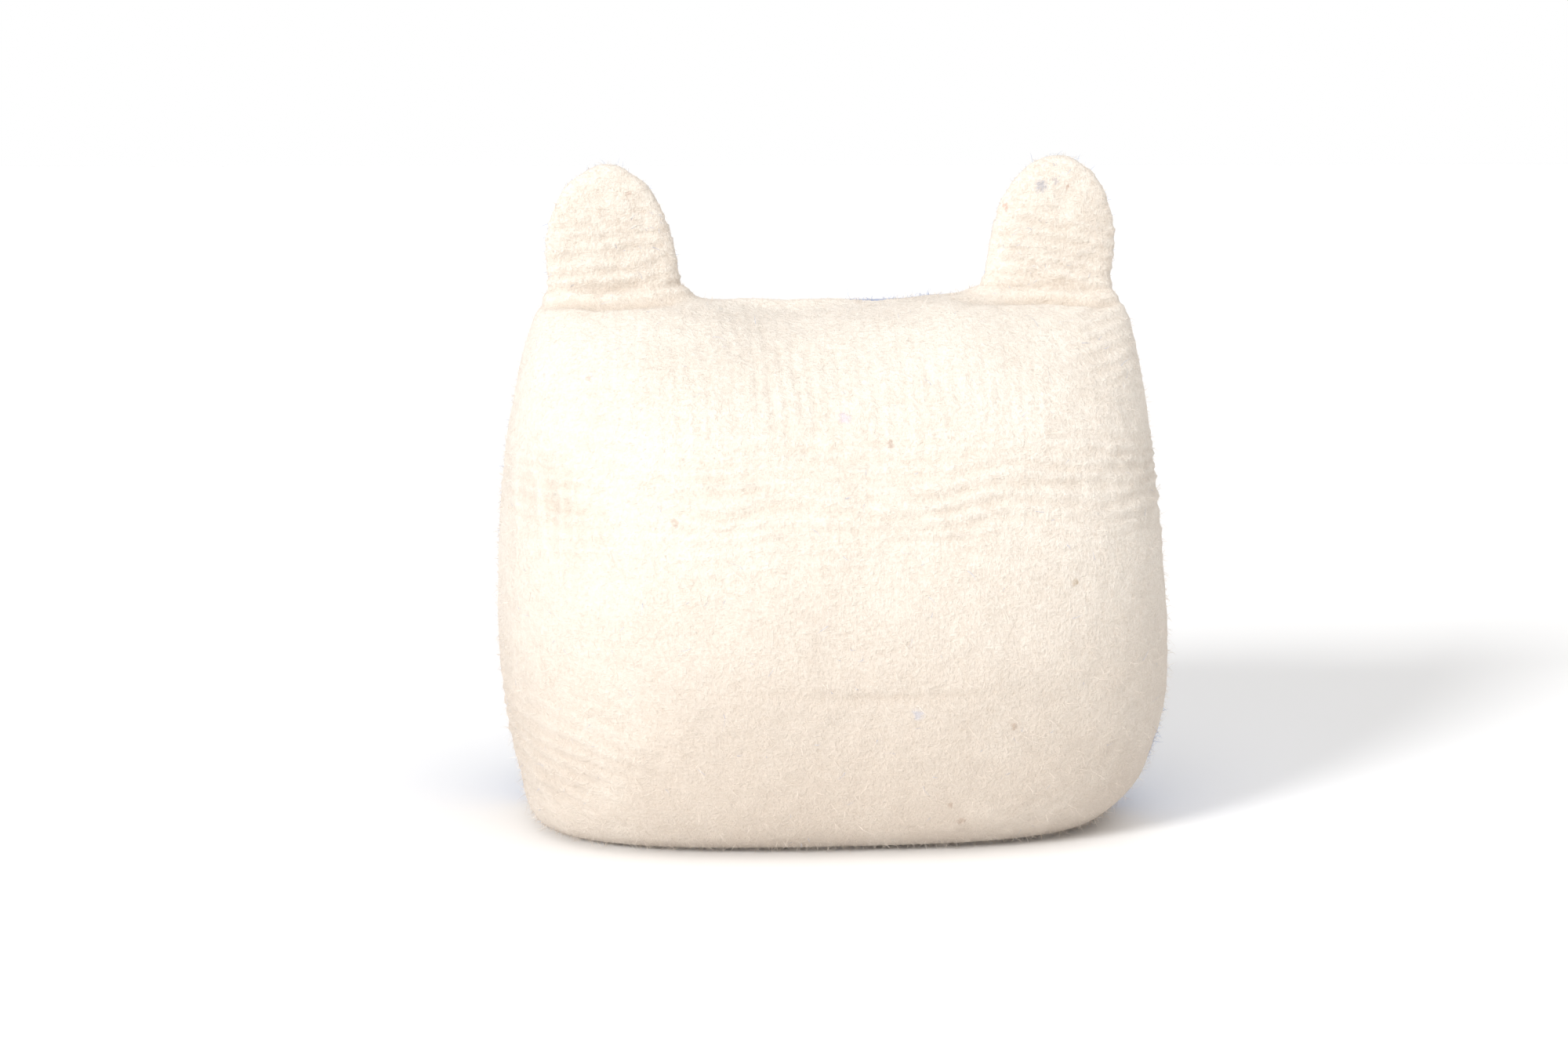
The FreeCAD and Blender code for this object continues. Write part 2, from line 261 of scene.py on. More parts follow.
def ear_rings(ear):
    """A blunt lobe, half an ellipse over straight sides, whose foot spreads into the crown."""
    reach = ear["top"] - CROWN
    rings = []
    turn = np.linspace(0, 2 * math.pi, 72, endpoint=False)
    across = np.sign(np.cos(turn)) * np.abs(np.cos(turn)) ** 0.9
    through = np.sign(np.sin(turn)) * np.abs(np.sin(turn)) ** 0.9
    inner_side = across * ear["side"] < 0
    for share in np.linspace(0, 0.999, 44):
        above = -0.007 + (reach + 0.007) * math.sin(share * QUARTER)
        from_tip = min((reach - above) / EAR_ROUNDING, 1)
        round_over = math.sqrt(1 - (1 - from_tip) ** 2)
        foot = math.exp(-max(above, 0) / 0.011)
        inner = EAR_HALF_WIDTH * round_over + ear["spread"] * foot
        outer = EAR_HALF_WIDTH * round_over + 0.001 * foot
        thick = EAR_HALF_THICKNESS * math.sqrt(round_over) + 0.007 * foot
        lean = ear["side"] * 0.003 * above / reach
        x = ear["centre"] + lean + across * np.where(inner_side, inner, outer)
        rings.append(list(zip(x, through * thick, np.full(len(x), CROWN + above))))
    return rings


def felt_form():
    """The hollow cave with its entrance and ears as one even skin, soft where they meet."""
    form = closed_rings("felt_form", cave_rings(0))
    hollow = closed_rings("hollow", cave_rings(WALL))
    x, z = soft_rectangle(ENTRANCE_HALF_WIDTH, ENTRANCE_HALF_HEIGHT, 64, ENTRANCE_POWER)
    bore = closed_rings(
        "bore",
        [
            list(zip(x, np.full(len(x), y), z + ENTRANCE_HEIGHT))
            for y in (-0.05, -2 * HALF_DEPTH)
        ],
    )
    for tool in (hollow, bore):
        apply_modifier(form, "BOOLEAN", object=tool, operation="DIFFERENCE")
        bpy.data.objects.remove(tool)
    ears = [closed_rings(f"{name}_form", ear_rings(ear)) for name, ear in EARS.items()]
    form = joined("felt_form", [form] + ears)
    apply_modifier(form, "REMESH", mode="VOXEL", voxel_size=VOXEL)
    height = coordinates(form)[:, 2]
    fold = smooth_step(height, CROWN - 0.03, CROWN - 0.004)
    fold *= 1 - smooth_step(height, CROWN + 0.012, CROWN + 0.03)
    relax(form, 0.4 * fold, 45)
    relax(form, np.full(len(height), 0.3), 4)
    return form


def entrance_distance(points):
    """1 on the entrance's edge, seen from the front; less inside it and more outside it."""
    x = np.abs(points[:, 0] / ENTRANCE_HALF_WIDTH)
    z = np.abs((points[:, 2] - ENTRANCE_HEIGHT) / ENTRANCE_HALF_HEIGHT)
    return (x**ENTRANCE_POWER + z**ENTRANCE_POWER) ** (1 / ENTRANCE_POWER)


def ridges(points, across, run, seed, wander):
    """Irregular ridges that run along the surface: sharp valleys between rounded crests.

    across gives each point's place across the ridges, in wavelengths. wander is how far, in
    wavelengths, a ridge strays from a straight line, and run is the size along x, y and z of
    the bends in it.
    """
    stray = grain(points, run, seed)
    stray += 0.35 * grain(points, np.asarray(run) / 2.7, seed + 1)
    return 1 - 2 * np.abs(np.sin(math.pi * (across + wander * stray))) ** 0.7


LEVEL = (0.11, 0.11, 0.035)  # the bends in a crease that runs across
UPRIGHT = (0.03, 0.05, 0.12)  # and in one that runs up
DEEP_CREASE = 0.0035  # a crease this deep gets the darkest painted shade


def lumps(points):
    """How far the felt's soft unevenness stands out from its smooth form."""
    relief = 0.0016 * grain(points, (0.11, 0.09, 0.08), 1)
    relief += 0.0008 * grain(points, (0.035, 0.03, 0.03), 2)
    return relief + 0.0006 * grain(points, (0.011, 0.011, 0.008), 3)


def creases(points, behind):
    """How far the crinkles and ribs that fulling left on the back stand out, or sink in."""
    x, height = points[:, 0], points[:, 2]
    patches = 0.6 + 0.8 * grain(points, (0.06, 0.05, 0.035), 4)
    band = bell(height, 0.245, 0.04) * behind * np.clip(patches, 0.4, 0.85)
    relief = 0.0017 * band * ridges(points, height / 0.0105, LEVEL, 5, 0.95)
    relief += 0.0009 * band * grain(points, (0.012, 0.02, 0.005), 6)

    ribs = bell(height, 0.31, 0.045) * bell(x, 0.02, 0.14) * behind
    ribs *= np.clip(1.6 - patches, 0.3, 1)
    relief += 0.0010 * ribs * ridges(points, x / 0.0088, UPRIGHT, 7, 0.5)
    relief += 0.0008 * ribs * grain(points, (0.006, 0.02, 0.05), 8)

    side = bell(x, 0.195, 0.025) * bell(height, 0.235, 0.03) * behind
    relief += 0.0012 * side * ridges(points, x / 0.012, UPRIGHT, 9, 0.8)
    low = bell(height, 0.075, 0.035) * smooth_step(x, 0.1, 0.18) * behind
    relief += 0.0012 * low * ridges(points, (height - 0.3 * x) / 0.011, LEVEL, 10, 0.7)
    corner = bell(x, -0.18, 0.03) * bell(height, 0.335, 0.03) * behind
    relief += 0.0012 * corner * ridges(points, (height + 0.2 * x) / 0.009, LEVEL, 11, 0.8)
    line = bell(height - 0.118 + 0.004 * grain(points, LEVEL, 12), 0, 0.0028)
    relief -= 0.0012 * line * bell(x, -0.01, 0.07) * behind
    return relief


def ear_relief(points, ear):
    """An ear's own wrinkles, level across it, and the crease where it folds up from the crown."""
    x, height = points[:, 0], points[:, 2]
    here = bell(x, ear["centre"], 0.062) * smooth_step(height, CROWN - 0.02, CROWN + 0.002)
    above = height - CROWN
    slope = 0.12 * (x - ear["centre"]) * ear["side"]
    folds = smooth_step(above, 0.006, 0.014) * (1 - smooth_step(above, 0.05, 0.075))
    relief = 0.0012 * here * folds * ridges(points, (height + slope) / 0.0095, LEVEL, 13, 0.8)
    relief += 0.0007 * here * grain(points, (0.009, 0.02, 0.007), 16)
    uneven = smooth_step(above, 0.01, 0.03)
    relief += 0.0011 * here * uneven * grain(points, (0.022, 0.02, 0.018), 14)
    stray = 0.0022 * grain(points, (0.03, 0.03, 0.03), 15)
    for depth, place in ((0.0045, 0.0005), (0.0026, 0.0095)):
        relief -= depth * here * bell(above + slope * 0.4 + stray, place, 0.0027)
    return relief


def outward_share(points, normals):
    """1 on the outside of the cave and 0 on its lining."""
    middle = np.array([0, 0, 0.18])
    reach = points - middle
    reach[:, 0] *= 0.6
    return (np.einsum("ij,ij->i", reach, normals) > 0).astype(float)


def with_relief(form):
    """Gives the smooth form its relief, and returns how deep in a crease each vertex lies: the
    share of painted crease shade.

    The lining and the underside keep only the lumps.
    """
    points, normals = coordinates(form), vertex_normals(form)
    outside = outward_share(points, normals)
    behind = smooth_step(points[:, 1], -0.02, 0.04) * outside
    fine = creases(points, behind)
    for ear in EARS.values():
        fine += ear_relief(points, ear) * outside
    relief = lumps(points) + fine
    relief *= smooth_step(points[:, 2], 0.0, 0.025) * (0.35 + 0.65 * outside)
    rolled = bell(entrance_distance(points), 1.03, 0.05) * (points[:, 1] < -0.1)
    relief += 0.003 * rolled
    points += normals * relief[:, None]
    points[:, 2] = np.maximum(points[:, 2], 0)
    set_coordinates(form, points)
    return np.clip(-fine / DEEP_CREASE, 0, 1)


# ---------------------------------------------------------------- pieces of the skin


def dye_edge(points):
    """Where, along y, the dyed wool of the front gives way to the natural wool of the back."""
    height = points[:, 2]
    x = points[:, 0]
    edge = -0.028 + 0.006 * grain(points, (0.07, 0.07, 0.06), 21)
    edge -= 0.014 * smooth_step(x, 0.08, 0.18)
    crown = smooth_step(height, 0.33, 0.36)
    edge += crown * (0.031 * bell(x, -0.03, 0.04) - 0.008 * bell(x, -0.1, 0.03))
    low_side = bell(height, 0.06, 0.042) * smooth_step(-x, 0.1, 0.2)
    edge += 0.105 * low_side
    beside_ear = sum(bell(x, ear["centre"], 0.055) for ear in EARS.values())
    edge += beside_ear * smooth_step(height, CROWN - 0.02, CROWN) * (-0.013 - edge)
    on_ear = smooth_step(height, CROWN + 0.006, CROWN + 0.02)
    edge += on_ear * (-0.004 - edge)
    return edge + 0.0025 * (1 - 0.6 * on_ear) * grain(points, (0.018, 0.018, 0.016), 22)


def dye_share(points):
    """0 in the natural wool and 1 in the dyed, with a felted mix of both between."""
    return np.clip(0.5 - (points[:, 1] - dye_edge(points)) / 0.016, 0, 1)


def keep(thing, name, values):
    """Keeps one number for each vertex under a name that the materials read."""
    layer = thing.data.attributes.new(name, "FLOAT", "POINT")
    layer.data.foreach_set("value", np.asarray(values, np.float32))


def cut_out(name, points, normals, quads):
    """A piece of a larger mesh, shaded as the whole is, and which of its points it holds."""
    used, index = np.unique(quads, return_inverse=True)
    piece = new_mesh(name, points[used], index.reshape(-1, 4))
    piece.data.shade_smooth()
    piece.data.normals_split_custom_set_from_vertices(normals[used])
    return piece, used


def split_skin(form, crease_shade):
    """Cuts the felt into its named pieces, which keep the whole skin's shading at their edges."""
    points, normals = coordinates(form), vertex_normals(form)
    quads = quads_of(form)
    middles = points[quads].mean(axis=1)
    facing = normals[quads].mean(axis=1)
    outside = outward_share(middles, facing) > 0.5
    near_lip = (entrance_distance(middles) < 1.1) & (middles[:, 1] < -0.12)
    ear_skin = {}
    for name, ear in EARS.items():
        beside = np.abs(middles[:, 0] - ear["centre"]) < 0.075
        ear_skin[name] = beside & (middles[:, 2] > EAR_CUT)
    on_ear = ear_skin["right_ear"] | ear_skin["left_ear"]
    back = middles[:, 1] > dye_edge(middles)
    cave = outside & ~on_ear & ~near_lip
    regions = {
        "cave_back_wool": cave & back,
        "cave_front_wool": cave & ~back,
        "entrance_rolled_lip": near_lip,
        "cave_lining": ~outside & ~near_lip & ~on_ear,
        "right_ear_back_wool": ear_skin["right_ear"] & back,
        "right_ear_front_wool": ear_skin["right_ear"] & ~back,
        "left_ear_back_wool": ear_skin["left_ear"] & back,
        "left_ear_front_wool": ear_skin["left_ear"] & ~back,
    }
    pieces = {}
    for name, chosen in regions.items():
        piece, used = cut_out(name, points, normals, quads[chosen])
        # the crease attribute sets how much painted shade the wool gets
        keep(piece, "crease", crease_shade[used])
        keep(piece, "dye", np.ones(len(used)) if "lip" in name else dye_share(points[used]))
        pieces[name] = piece
    bpy.data.objects.remove(form)
    return pieces


form = felt_form()
skin = split_skin(form, with_relief(form))
STANDS_FOR = {
    "cave_back_wool": ["back_wool_layer", "base_wool_layer"],
    "cave_front_wool": ["front_wool_layer"],
    "entrance_rolled_lip": ["entrance_lip"],
    "cave_lining": ["shell_back", "shell_front", "shell_floor"],
    "right_ear_back_wool": ["right_ear_back_felt"],
    "right_ear_front_wool": ["right_ear_front_felt"],
    "left_ear_back_wool": ["left_ear_back_felt"],
    "left_ear_front_wool": ["left_ear_front_felt"],
}


# ---------------------------------------------------------------- loose fibres


def fuzz(name, base, count, longest, stand, density=None):
    """Loose wool fibres on a piece: thin ribbons that taper and curl, each with its own lean.

    stand is how steeply the steepest of them rises from the surface, and density, a function of
    points, says where there are more of them.
    """
    corners = coordinates(base)[quads_of(base)]
    across_one, across_other = corners[:, 2] - corners[:, 0], corners[:, 3] - corners[:, 1]
    facing = np.cross(across_one, across_other)
    area = np.linalg.norm(facing, axis=1)
    chance = area * (density(corners.mean(axis=1)) if density else 1)
    chosen = random.choice(len(area), count, p=chance / chance.sum())
    u, v = random.random((2, count, 1))
    here = corners[chosen]
    root = (here[:, 0] * (1 - u) + here[:, 1] * u) * (1 - v)
    root += (here[:, 3] * (1 - u) + here[:, 2] * u) * v
    up = facing[chosen] / area[chosen, None]
    along = np.cross(up, random.normal(size=(count, 3)))
    along /= np.linalg.norm(along, axis=1)[:, None]
    beside = np.cross(up, along)
    length = longest * (0.25 + 0.75 * random.random((count, 1)) ** 2)
    rise = stand * random.random((count, 1)) ** 1.5
    curl = random.normal(0, 0.9, (count, 1))
    half_width = 0.00007 + 0.00006 * random.random((count, 1))
    rows = []
    for share in (0, 1 / 3, 2 / 3, 1):
        path = along * share + beside * curl * share**2 + up * (rise * share + 0.02)
        spine = root + length * path
        spine[:, 2] = np.maximum(spine[:, 2], 0.0003)
        side = half_width * (1 - 0.5 * share) * beside
        rows += [spine - side, spine + side] if share < 1 else [spine]
    points = np.stack(rows, axis=1).reshape(-1, 3)
    first = np.arange(count)[:, None] * 7
    faces = (first + [0, 1, 3, 2]).tolist() + (first + [2, 3, 5, 4]).tolist()
    faces += (first + [4, 5, 6]).tolist()
    piece = new_mesh(name, points, faces)
    mixed = np.clip(dye_share(root) + random.normal(0, 0.22, count), 0, 1) > 0.5
    keep(piece, "dye", np.repeat(mixed.astype(float), 7))
    return piece


def towards_floor(points):
    """More fibres along the foot, where the felt has rubbed, and near the two wools' border."""
    border = bell(points[:, 1], dye_edge(points), 0.012)
    return 1 + 5 * bell(points[:, 2], 0.004, 0.006) + 1.6 * border


FUZZ = {
    "cave_back_fuzz": ("cave_back_wool", 38000, 0.0095, 1.0, towards_floor),
    "cave_front_fuzz": ("cave_front_wool", 34000, 0.008, 1.0, towards_floor),
    "entrance_fuzz": ("entrance_rolled_lip", 5000, 0.004, 0.9, None),
    "right_ear_back_fuzz": ("right_ear_back_wool", 2600, 0.007, 1.0, None),
    "right_ear_front_fuzz": ("right_ear_front_wool", 2600, 0.007, 1.0, None),
    "left_ear_back_fuzz": ("left_ear_back_wool", 2600, 0.007, 1.0, None),
    "left_ear_front_fuzz": ("left_ear_front_wool", 2600, 0.007, 1.0, None),
}
loose = {name: fuzz(name, skin[base], *facts) for name, (base, *facts) in FUZZ.items()}


# ---------------------------------------------------------------- the cushion

seam_low, seam_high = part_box("cushion_piping")
_, panel_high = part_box("cushion_top_panel")
bottom_low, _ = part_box("cushion_front_flap")
SEAM = (seam_low.z + seam_high.z) / 2
CUSHION_HALF_WIDTH = panel_high.x
CUSHION_HALF_DEPTH = panel_high.y
CUSHION_TOP = panel_high.z
CUSHION_BOTTOM = bottom_low.z + 0.0005
PIPING_RADIUS = (seam_high.z - seam_low.z) / 2
CUSHION_POWER = 3.4
STUFFED = 20  # frames that the cover is blown up for
MOST_SWELL = 0.006


def cushion_rings(inset):
    """A pillow: crowned above, flatter below, and pulled in to its seam all round."""
    rings = []
    for angle in np.linspace(-QUARTER * 0.97, QUARTER * 0.97, 19):
        half = (CUSHION_TOP - SEAM if angle > 0 else SEAM - CUSHION_BOTTOM) - inset
        share = math.cos(angle) ** 0.62
        x, y = soft_rectangle(
            (CUSHION_HALF_WIDTH - inset) * share,
            (CUSHION_HALF_DEPTH - inset) * share,
            120,
            power=2.4 + (CUSHION_POWER - 2.4) * share,
        )
        height = SEAM + half * math.sin(angle)
        rings.append([(*place, height) for place in zip(x, y)])
    return rings


def stuffed(cover):
    """Blows the cover up as cloth held at its seam, so that it creases as a filled cushion does."""
    before = coordinates(cover)
    held = cover.vertex_groups.new(name="held")
    from_seam = np.abs(before[:, 2] - SEAM)
    held.add(np.flatnonzero(from_seam < 0.0035).tolist(), 1.0, "REPLACE")
    cloth = cover.modifiers.new("cloth", "CLOTH")
    cloth.settings.vertex_group_mass = "held"
    cloth.settings.use_pressure = True
    cloth.settings.uniform_pressure_force = 4
    cloth.settings.effector_weights.gravity = 0
    cloth.settings.shrink_min = -0.04
    for step in range(1, STUFFED + 1):
        bpy.context.scene.frame_set(step)
    activate(cover)
    bpy.ops.object.modifier_apply(modifier=cloth.name)
    moved = coordinates(cover) - before
    far = np.linalg.norm(moved, axis=1)
    moved *= np.minimum(1, MOST_SWELL / np.maximum(far, 1e-9))[:, None]
    set_coordinates(cover, before + moved)
    cover.vertex_groups.clear()
    bpy.context.scene.frame_set(1)


def pucker(cover):
    """Small tucks that run in from the piping, and the hem where the bottom flaps overlap."""
    points, normals = coordinates(cover), vertex_normals(cover)
    around = np.arctan2(points[:, 1] / CUSHION_HALF_DEPTH, points[:, 0] / CUSHION_HALF_WIDTH)
    stray = grain(points, (0.03, 0.03, 0.03), 31)
    near_seam = bell(points[:, 2], SEAM, 0.009) * (np.abs(points[:, 2] - SEAM) > 0.001)
    relief = 0.0011 * near_seam * ridges(points, around * 17 + 0.6 * stray, UPRIGHT, 32, 0.35)
    relief += 0.0012 * grain(points, (0.06, 0.05, 0.05), 33)
    points += normals * relief[:, None]
    under = points[:, 2] < SEAM - 0.012
    points[:, 2] += 0.0012 * under * (points[:, 1] > 0.03)
    points[:, 2] = np.clip(points[:, 2], CUSHION_BOTTOM, CUSHION_TOP + 0.004)
    set_coordinates(cover, points)


def cushion_cover():
    """The whole cover, with the creases of a stuffed one."""
    cover = closed_rings("cover", cushion_rings(0.002))
    apply_modifier(cover, "REMESH", mode="VOXEL", voxel_size=0.0048)
    stuffed(cover)
    apply_modifier(cover, "SUBSURF", levels=1, render_levels=1)
    pucker(cover)
    return cover


def split_cover(cover):
    """The cover's top and bottom, parted at the seam, which keep the whole cover's shading."""
    points, normals, quads = coordinates(cover), vertex_normals(cover), quads_of(cover)
    above = points[quads].mean(axis=1)[:, 2] > SEAM
    top, _ = cut_out("cushion_cover_top", points, normals, quads[above])
    bottom, _ = cut_out("cushion_cover_bottom", points, normals, quads[~above])
    bpy.data.objects.remove(cover)
    return top, bottom


def seam_piping():
    """A covered cord laid round the seam, a little uneven where it was sewn down."""
    reach = PIPING_RADIUS * 0.75
    x, y = soft_rectangle(
        CUSHION_HALF_WIDTH + reach, CUSHION_HALF_DEPTH + reach, 300, power=CUSHION_POWER
    )
    path = np.stack([x, y, np.full(len(x), SEAM)], axis=1)
    path[:, 2] += 0.0008 * grain(path, (0.05, 0.05, 0.05), 34)
    forward = np.roll(path, -1, axis=0) - np.roll(path, 1, axis=0)
    forward /= np.linalg.norm(forward, axis=1)[:, None]
    outward = np.cross(forward, [0, 0, 1])
    turns = np.linspace(0, 2 * math.pi, 10, endpoint=False)
    rings = [
        path + PIPING_RADIUS * (math.cos(t) * outward + math.sin(t) * np.array([0, 0, 1]))
        for t in turns
    ]
    points = np.stack(rings, axis=1).reshape(-1, 3)
    count = len(turns)
    faces = []
    for step in range(len(path)):
        here, there = step * count, (step + 1) % len(path) * count
        for k in range(count):
            following = (k + 1) % count
            faces.append((here + k, here + following, there + following, there + k))
    piping = new_mesh("cushion_seam_piping", points, faces)
    piping.data.shade_smooth()
    return piping


cover_top, cover_bottom = split_cover(cushion_cover())
piping = seam_piping()


# ---------------------------------------------------------------- materials


class Look:
    """A material with a Principled shader, and short ways to add nodes to it."""

    def __init__(self, name, roughness, sheen=0.0):
        self.material = bpy.data.materials.new(name)
        self.material.use_nodes = True
        self.tree = self.material.node_tree
        self.shader = self.tree.nodes["Principled BSDF"]
        self.shader.inputs["Roughness"].default_value = roughness
        self.shader.inputs["Specular IOR Level"].default_value = 0.2
        self.shader.inputs["Sheen Weight"].default_value = sheen
        self.shader.inputs["Sheen Roughness"].default_value = 0.6
        self.place = self.node("ShaderNodeTexCoord").outputs["Object"]

    def node(self, kind, inputs=None, **settings):
        made = self.tree.nodes.new(kind)
        for key, value in settings.items():
            setattr(made, key, value)
        for key, value in (inputs or {}).items():
            if isinstance(value, bpy.types.NodeSocket):
                self.tree.links.new(value, made.inputs[key])
            else:
                made.inputs[key].default_value = value
        return made

    def noise(self, scale, stretch=(1, 1, 1), detail=3.0, warp=0.0):
        """Noise between 0 and 1 with scale lumps to the metre, drawn out along some axes."""
        place = self.place
        if warp:
            bent = self.node("ShaderNodeTexNoise", {"Vector": place, "Scale": scale / 5})
            place = self.node(
                "ShaderNodeVectorMath",
                {0: bent.outputs["Color"], 1: (warp, warp, warp), 2: place},
                operation="MULTIPLY_ADD",
            ).outputs[0]
        place = self.node("ShaderNodeMapping", {"Vector": place, "Scale": stretch}).outputs[0]
        inputs = {"Vector": place, "Scale": scale, "Detail": detail, "Roughness": 0.6}
        return self.node("ShaderNodeTexNoise", inputs).outputs["Fac"]

    def ramp(self, value, start, end):
        """A smooth ramp from 0 at start to 1 at end."""
        inputs = {"Value": value, "From Min": start, "From Max": end}
        return self.node("ShaderNodeMapRange", inputs, interpolation_type="SMOOTHSTEP").outputs[0]

    def sum_of(self, one, share, other):
        """one times share, plus other."""
        inputs = {0: one, 1: share, 2: other}
        return self.node("ShaderNodeMath", inputs, operation="MULTIPLY_ADD").outputs[0]

    def product(self, one, other):
        return self.node("ShaderNodeMath", {0: one, 1: other}, operation="MULTIPLY").outputs[0]

    def mix(self, share, one, other):
        """The first colour at 0 and the second at 1."""
        one, other = (c if isinstance(c, bpy.types.NodeSocket) else (*c, 1) for c in (one, other))
        return self.node("ShaderNodeMix", {0: share, 6: one, 7: other}, data_type="RGBA").outputs[2]

    def specks(self, scale, size, rarity):
        """Small round specks: 1 on a speck and 0 elsewhere."""
        cells = self.node("ShaderNodeTexVoronoi", {"Vector": self.place, "Scale": scale})
        red = self.node("ShaderNodeSeparateColor", {0: cells.outputs["Color"]}).outputs[0]
        here = self.ramp(cells.outputs["Distance"], size, size * 0.4)
        return self.product(here, self.ramp(red, rarity, rarity + 0.01))

    def finish(self, colour, relief, depth):
        bump = self.node("ShaderNodeBump", {"Height": relief, "Distance": depth, "Strength": 1.0})
        self.tree.links.new(colour, self.shader.inputs["Base Color"])
        self.tree.links.new(bump.outputs[0], self.shader.inputs["Normal"])
        return self.material


# Flecks of darker wool that were carded in: x, z, radius in metres, and colour. The first few
# are on the ears.
FLECKS = [
    (-0.147, 0.441, 0.0062, (0.36, 0.36, 0.42)),
    (-0.157, 0.444, 0.0034, (0.42, 0.38, 0.40)),
    (-0.166, 0.441, 0.0032, (0.45, 0.25, 0.17)),
    (-0.124, 0.426, 0.0032, (0.55, 0.33, 0.26)),
    (0.1386, 0.436, 0.0030, (0.58, 0.42, 0.34)),
    (0.002, 0.2935, 0.0052, (0.68, 0.59, 0.68)),
    (0.1685, 0.3175, 0.0034, (0.50, 0.38, 0.30)),
    (-0.0265, 0.2775, 0.0030, (0.50, 0.36, 0.28)),
    (0.1145, 0.230, 0.0034, (0.54, 0.42, 0.34)),
    (-0.1465, 0.1875, 0.0034, (0.46, 0.34, 0.22)),
    (-0.1055, 0.095, 0.0034, (0.44, 0.32, 0.24)),
    (-0.0415, 0.105, 0.0052, (0.55, 0.55, 0.62)),
    (-0.0665, 0.0385, 0.0034, (0.46, 0.34, 0.26)),
    (-0.075, 0.026, 0.0030, (0.48, 0.36, 0.28)),
]
NATURAL = ((0.865, 0.80, 0.72), (0.72, 0.645, 0.56))
DYED = ((0.40, 0.47, 0.66), (0.25, 0.31, 0.50))
LINING = ((0.84, 0.78, 0.70), (0.74, 0.67, 0.59))
BROWN_SPECK = (0.33, 0.24, 0.18)
BLUE_SPECK = (0.34, 0.38, 0.52)
# painted shade: the tan that the lower part of the wool is darkened towards
PAINTED_LOW_SHADE = (0.58, 0.485, 0.40)
# painted shade: the brown that the wool is darkened towards in its creases
PAINTED_CREASE_SHADE = (0.50, 0.39, 0.29)
FELT_DEPTH = 0.0014  # the height of the felt's fine relief


def felted(look, tones):
    """A felt's colour and relief: matted tufts, streaks of fibre and slow changes of tone."""
    light, dark = tones
    tufts = look.noise(380, detail=4.0)
    streaks = look.noise(150, stretch=(1, 1, 9), warp=0.02)
    cross_streaks = look.noise(150, stretch=(9, 9, 1), warp=0.02)
    slow = look.noise(16)
    tone = look.sum_of(tufts, 0.8, look.product(streaks, 0.35))
    tone = look.sum_of(cross_streaks, 0.35, tone)
    tone = look.sum_of(slow, 0.3, tone)
    colour = look.mix(look.ramp(tone, 1.15, 0.65), light, dark)
    relief = look.sum_of(streaks, 0.35, look.sum_of(cross_streaks, 0.35, tufts))
    return colour, relief


def wool_look():
    """Natural and dyed wool in one felt, mixed where the dye share of the piece says."""
    look = Look("wool", 0.96, sheen=0.2)
    natural, relief = felted(look, NATURAL)
    dyed, _ = felted(look, DYED)
    natural = look.mix(look.product(look.specks(64, 0.1, 0.88), 0.3), natural, BROWN_SPECK)
    natural = look.mix(look.product(look.specks(47, 0.09, 0.92), 0.25), natural, BLUE_SPECK)
    height = look.node("ShaderNodeSeparateXYZ", {0: look.place}).outputs["Z"]
    # painted shade: the wool grows darker towards the floor, in slow patches
    painted_low_shade = look.product(look.ramp(height, 0.29, 0.0), look.ramp(look.noise(9), 0.1, 0.6))
    natural = look.mix(look.product(painted_low_shade, 0.74), natural, PAINTED_LOW_SHADE)
    # painted shade: the natural wool is darkened in its creases, as far as the crease attribute
    # says
    crease = look.node("ShaderNodeAttribute", attribute_name="crease").outputs["Fac"]
    natural = look.mix(look.product(crease, 0.45), natural, PAINTED_CREASE_SHADE)
    rough = look.node("ShaderNodeTexNoise", {"Vector": look.place, "Scale": 300.0, "Detail": 3.0})
    flat = look.node("ShaderNodeMapping", {"Vector": look.place, "Scale": (1, 0.03, 1)}).outputs[0]
    inputs = {0: rough.outputs["Color"], 1: (0.009, 0.0, 0.009), 2: flat}
    near = look.node("ShaderNodeVectorMath", inputs, operation="MULTIPLY_ADD").outputs[0]
    for x, z, radius, colour in FLECKS:
        depth = 0.0002 if z > CROWN else 0.0045
        inputs = {0: near, 1: (x + 0.0045, depth, z + 0.0045)}
        away = look.node("ShaderNodeVectorMath", inputs, operation="DISTANCE").outputs["Value"]
        share = look.product(look.ramp(away, radius, radius * 0.25), 0.62)
        natural = look.mix(share, natural, colour)
    stray = look.noise(420, stretch=(1, 1, 0.4), detail=4.0, warp=0.01)
    share = look.node("ShaderNodeAttribute", attribute_name="dye").outputs["Fac"]
    share = look.sum_of(stray, 0.9, share)
    colour = look.mix(look.ramp(share, 0.86, 1.04), natural, dyed)
    return look.finish(colour, relief, FELT_DEPTH)


def lining_look():
    look = Look("lining_felt", 0.97, sheen=0.25)
    colour, relief = felted(look, LINING)
    return look.finish(colour, relief, FELT_DEPTH)


def fibre_look():
    """Single fibres: the same two colours, each a little lighter or darker along its length."""
    look = Look("loose_fibres", 0.9, sheen=0.2)
    shift = look.ramp(look.noise(90), 0.35, 0.65)
    natural = look.mix(shift, (0.84, 0.75, 0.665), (0.74, 0.645, 0.555))
    dyed = look.mix(shift, (0.43, 0.50, 0.69), (0.30, 0.36, 0.55))
    share = look.node("ShaderNodeAttribute", attribute_name="dye").outputs["Fac"]
    return look.finish(look.mix(share, natural, dyed), look.noise(900), 0.0001)


